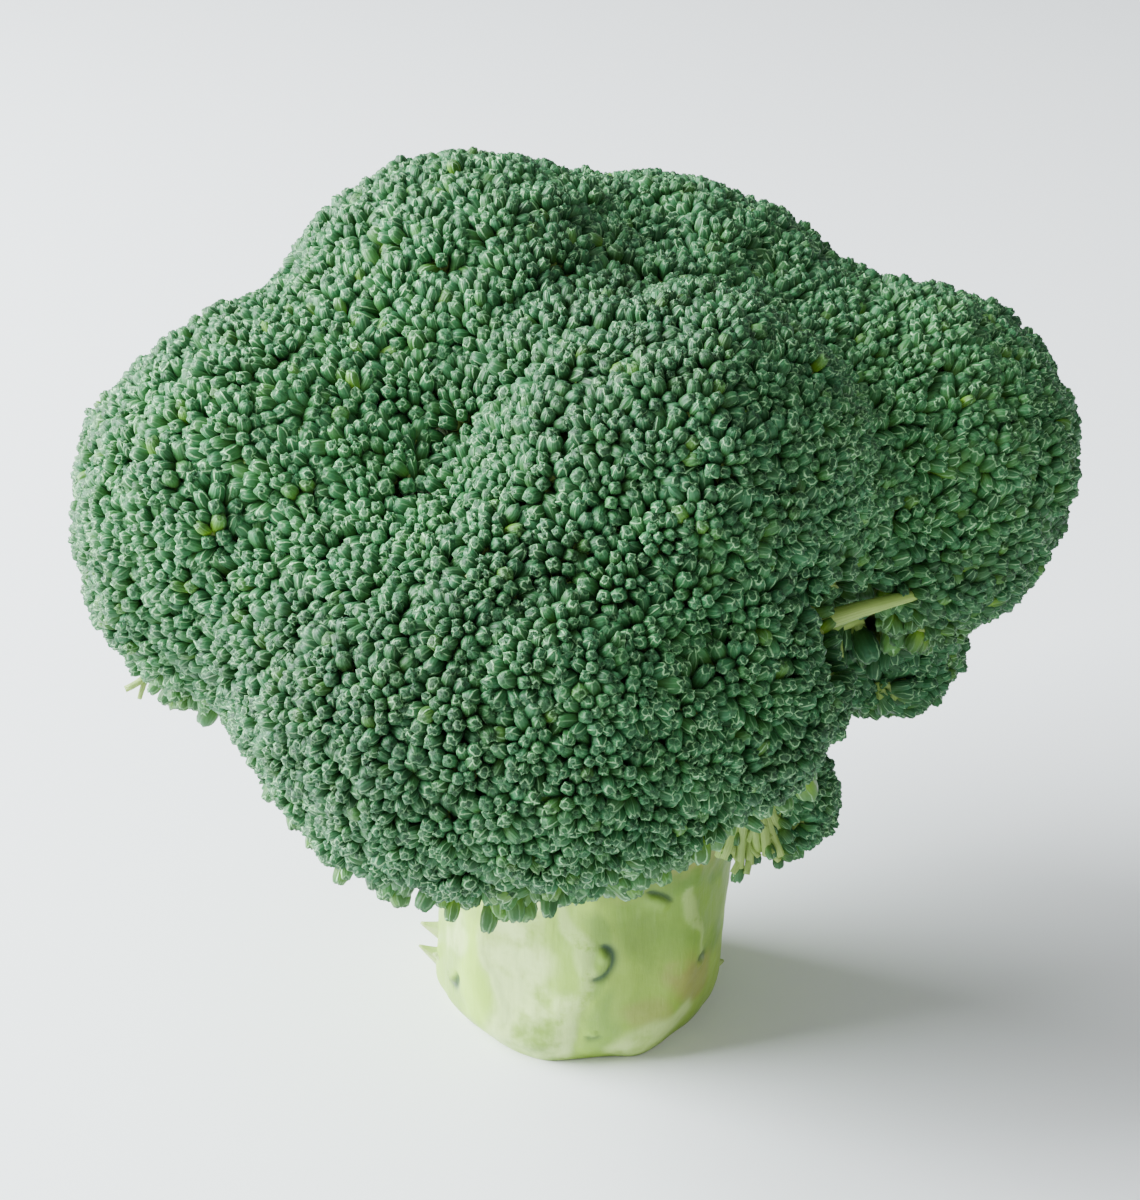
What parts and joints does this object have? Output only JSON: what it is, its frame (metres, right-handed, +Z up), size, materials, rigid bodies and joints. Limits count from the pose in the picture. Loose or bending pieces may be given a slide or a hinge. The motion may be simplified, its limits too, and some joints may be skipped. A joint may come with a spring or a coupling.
{
  "type": "broccoli head",
  "caption": "Whole fresh broccoli head standing on its trimmed stalk: a thick pale stalk forks into branches that carry domes of packed blue-green flower buds.",
  "frame": {"origin": "middle of the stalk's cut face, on the surface that the head stands on", "axes": "+Z up along the stalk from the cut face to the crown, -Y the front with the widest low floret, +X the head's right side seen from the front"},
  "size_m": [0.1477, 0.1393, 0.1333],
  "materials": {
    "stalk": "fresh pale green peeled stalk, waxy satin skin with fine lengthwise fibres and a moist cut face",
    "branch": "fresh pale yellow-green stems, smooth and waxy with fine lengthwise ribs",
    "buds": "closed flower buds, matt blue-green with a waxy bloom, yellower towards the rims"
  },
  "bodies": {
    "root": {"stalk": "stalk", "branch_front": "branch", "branch_front_left": "branch", "branch_front_right": "branch", "branch_centre": "branch", "branch_left": "branch", "branch_top_left": "branch", "branch_top_back": "branch", "branch_top_right": "branch", "branch_right": "branch", "branch_back": "branch", "branch_back_left": "branch", "branch_back_right": "branch", "branch_right_low": "branch", "branch_front_right_low": "branch", "floret_front": "buds", "floret_front_left": "buds", "floret_front_right": "buds", "floret_centre": "buds", "floret_left": "buds", "floret_top_left": "buds", "floret_top_back": "buds", "floret_top_right": "buds", "floret_right": "buds", "floret_back": "buds", "floret_back_left": "buds", "floret_back_right": "buds", "floret_right_low": "buds", "floret_front_right_low": "buds"}
  },
  "joints": []
}
